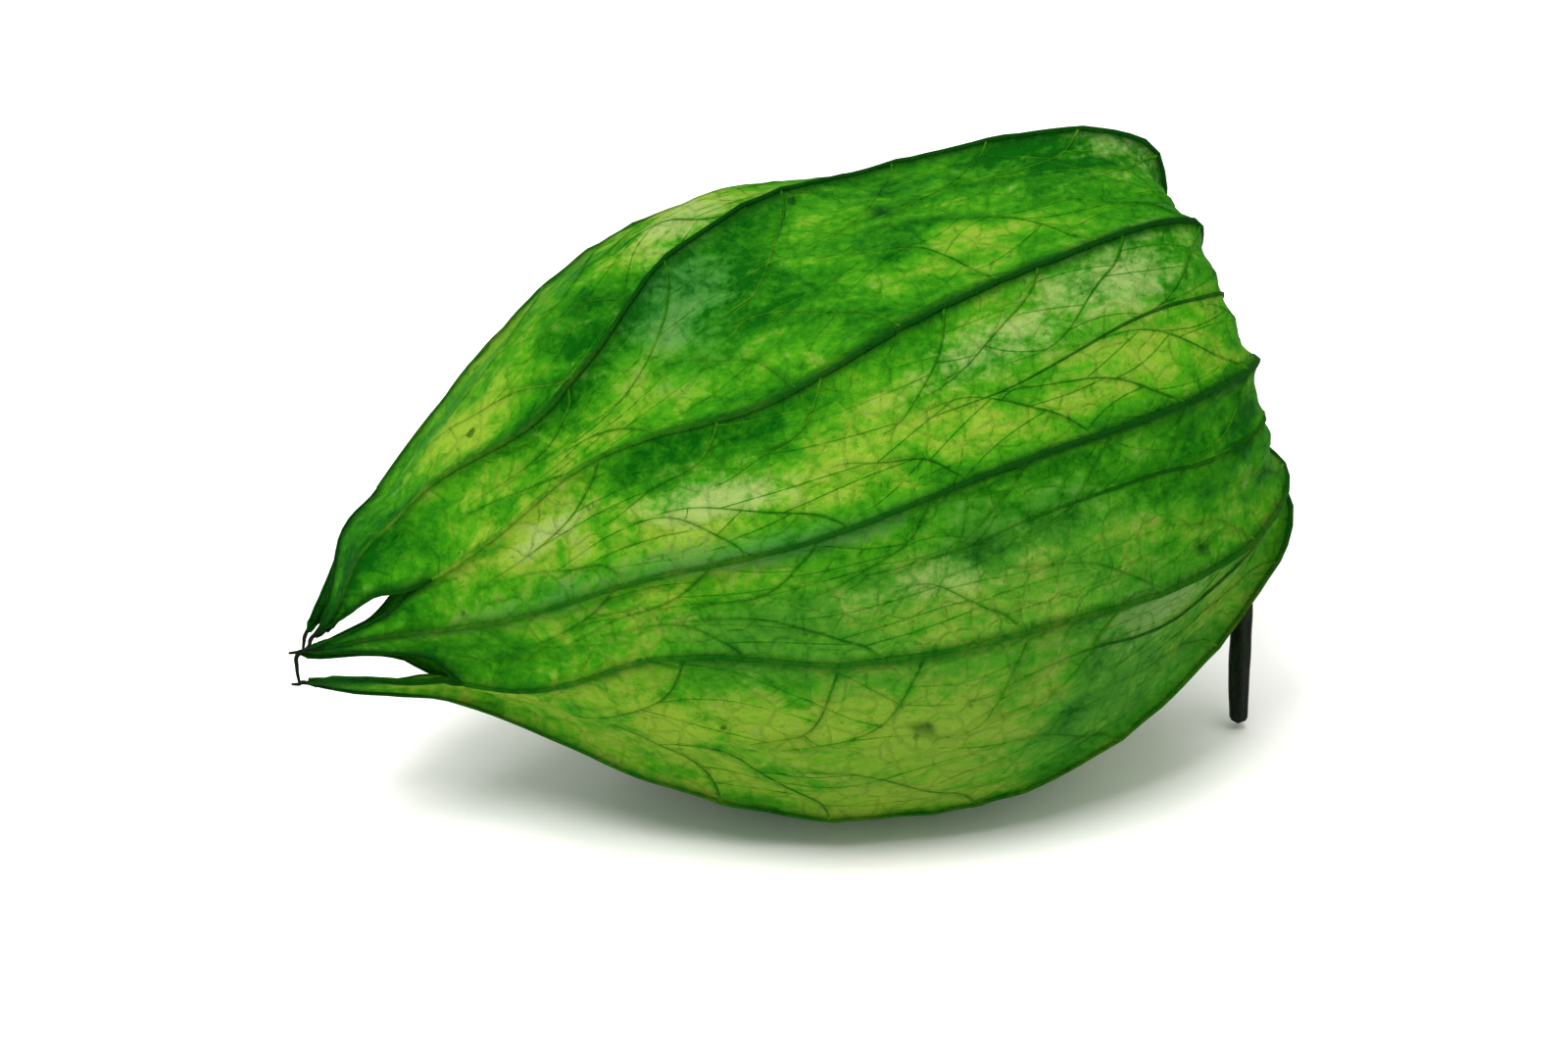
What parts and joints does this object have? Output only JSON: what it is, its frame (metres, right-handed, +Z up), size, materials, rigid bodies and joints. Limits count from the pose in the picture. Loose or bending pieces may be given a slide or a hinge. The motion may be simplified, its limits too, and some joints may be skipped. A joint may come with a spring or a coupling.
{
  "type": "physalis husk",
  "caption": "Dried lantern husk lying on its side: a hollow, ribbed and net-veined papery calyx that parts into pointed lobes at one end, with a thin bent stalk at the other. For decoration.",
  "frame": {"origin": "bottom centre of the object's box, on the surface that it lies on", "axes": "+Z up; the lobes point to -X and the stalk's end to +X; -Y is the side that the picture shows"},
  "size_m": [0.049, 0.0314, 0.031],
  "materials": {
    "husk_green": "papery, slightly translucent plant skin dyed green, semi-matt",
    "stalk_green": "dry, fibrous, very dark green, semi-matt"
  },
  "bodies": {
    "root": {"husk": "husk_green", "stalk": "stalk_green"}
  },
  "joints": []
}
